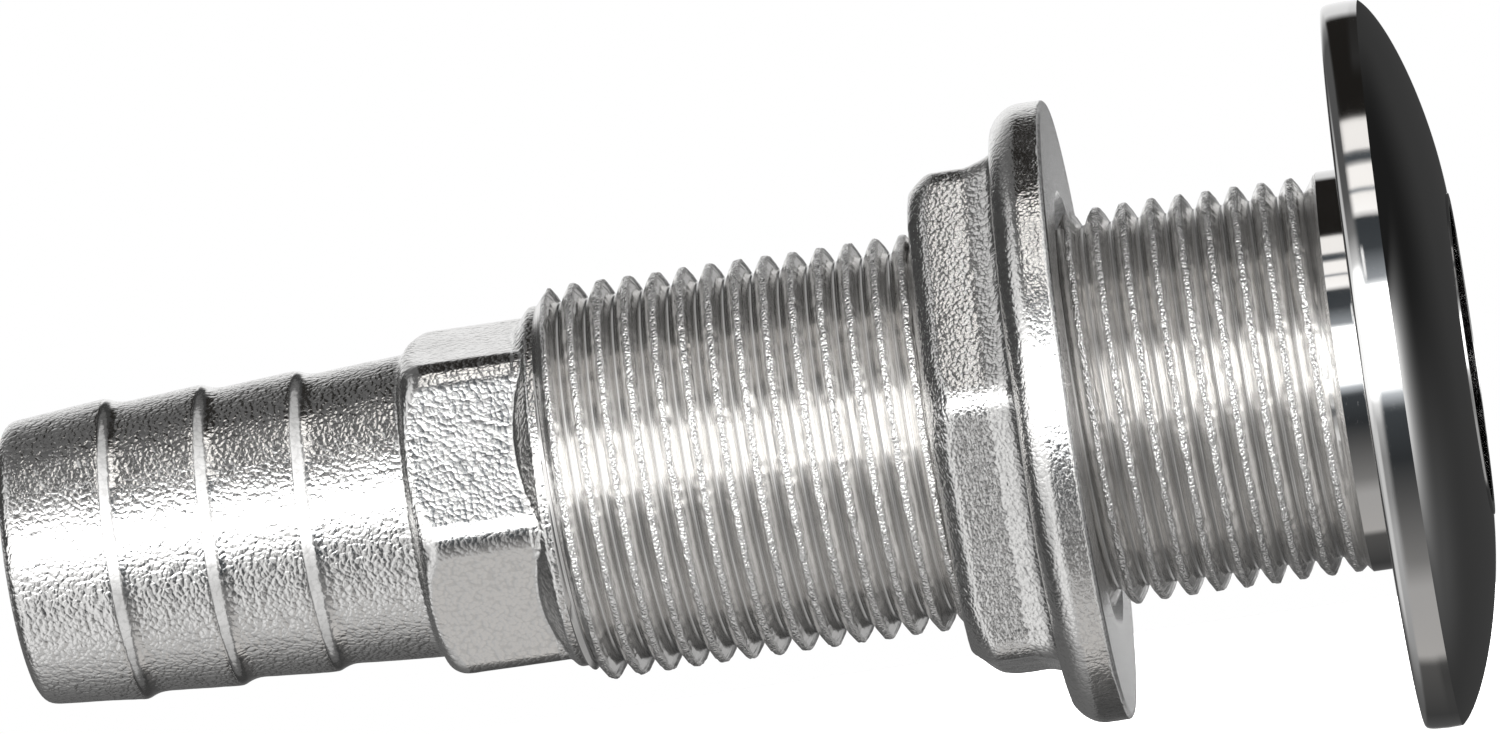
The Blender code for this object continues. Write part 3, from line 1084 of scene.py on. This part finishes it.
def lay_floor(bottom_z):
    """A pale round floor just under the fitting, which its metal doesn't mirror."""
    bm = bmesh.new()
    bmesh.ops.create_circle(bm, cap_ends=True, segments=128, radius=FLOOR_RADIUS * MM)
    mesh = bpy.data.meshes.new("floor")
    bm.to_mesh(mesh)
    bm.free()
    floor = bpy.data.objects.new("floor", mesh)
    floor.location = (FLOOR_MIDDLE_X * MM, 0, bottom_z - FLOOR_GAP * MM)
    material = bpy.data.materials.new("paper_white")
    material.use_nodes = True
    nodes = Nodes(material.node_tree)
    shader = material.node_tree.nodes["Principled BSDF"]
    shader.inputs["Roughness"].default_value = 0.9
    shader.inputs["Specular IOR Level"].default_value = 0.1
    shader.inputs["Emission Color"].default_value = (1.0, 1.0, 1.0, 1.0)
    shader.inputs["Emission Strength"].default_value = 1.0
    grain = nodes.noise(nodes.add("ShaderNodeTexCoord").outputs["Object"], 8.0, 3.0)
    tone = nodes.mix_colour(grain, (0.90, 0.90, 0.90, 1.0), (0.94, 0.94, 0.94, 1.0))
    nodes.tree.links.new(tone, shader.inputs["Base Color"])
    mesh.materials.append(material)
    bpy.context.scene.collection.objects.link(floor)
    floor.visible_glossy = False


def set_camera(low, high):
    """The camera, aimed near the middle of the box from low to high."""
    data = bpy.data.cameras.new("camera")
    data.lens = CAMERA_LENS
    data.sensor_width = 36.0
    data.sensor_fit = "HORIZONTAL"
    data.clip_start, data.clip_end = 0.01, 20.0
    camera = bpy.data.objects.new("camera", data)
    forward = Vector((-math.sin(CAMERA_YAW), math.cos(CAMERA_YAW), 0))
    level = forward.cross(Vector((0, 0, 1)))
    right = level * math.cos(CAMERA_ROLL) - Vector((0, 0, 1)) * math.sin(CAMERA_ROLL)
    up = right.cross(forward)
    aim = (low + high) / 2 + Vector(CAMERA_AIM) * MM
    axes = Matrix((right, up, -forward)).transposed().to_4x4()
    camera.matrix_world = Matrix.Translation(aim - forward * CAMERA_DISTANCE * MM) @ axes
    bpy.context.scene.collection.objects.link(camera)
    bpy.context.scene.camera = camera


def main():
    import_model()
    cad_low, cad_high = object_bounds()
    bpy.context.scene.view_settings.view_transform = "Standard"
    set_camera(cad_low, cad_high)
    light_studio()
    hang_card()
    lay_floor(cad_low.z)

    cast = cast_steel(
        "cast_body_steel",
        cell=0.42,
        height=0.056,
        colour=(0.88, 0.873, 0.862),
        dull=0.14,
        calm=calm_skin,
    )
    cast_nut = cast_steel(
        "cast_nut_steel",
        cell=0.34,
        height=0.05,
        colour=(0.86, 0.853, 0.842),
        dull=0.15,
        calm=calm_flange,
    )
    thread = machined_thread("turned_thread_steel", colour=(0.88, 0.868, 0.852))
    torn = cast_steel(
        "torn_crest_steel", cell=0.26, height=0.12, colour=(0.93, 0.922, 0.91), dull=0.13
    )
    polished = polished_steel("polished_head_steel", colour=(0.66, 0.658, 0.654))
    faced = faced_steel("faced_nut_steel", colour=(0.92, 0.915, 0.91))
    bore = bore_steel("waterway_steel")

    for piece in (
        barb_and_hex(cast, bore),
        threaded_shank(thread, torn, bore),
        mushroom_head(polished, bore),
    ):
        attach(piece, "fitting")
        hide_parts("fitting_body")
    flange = nut_flange(cast_nut, faced, bore)
    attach(flange, "nut_carrier")
    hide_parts("nut_flange")
    hexagonal = nut_hexagon(cast_nut, thread)
    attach(hexagonal, "nut")
    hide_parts("nut_hex")


main()
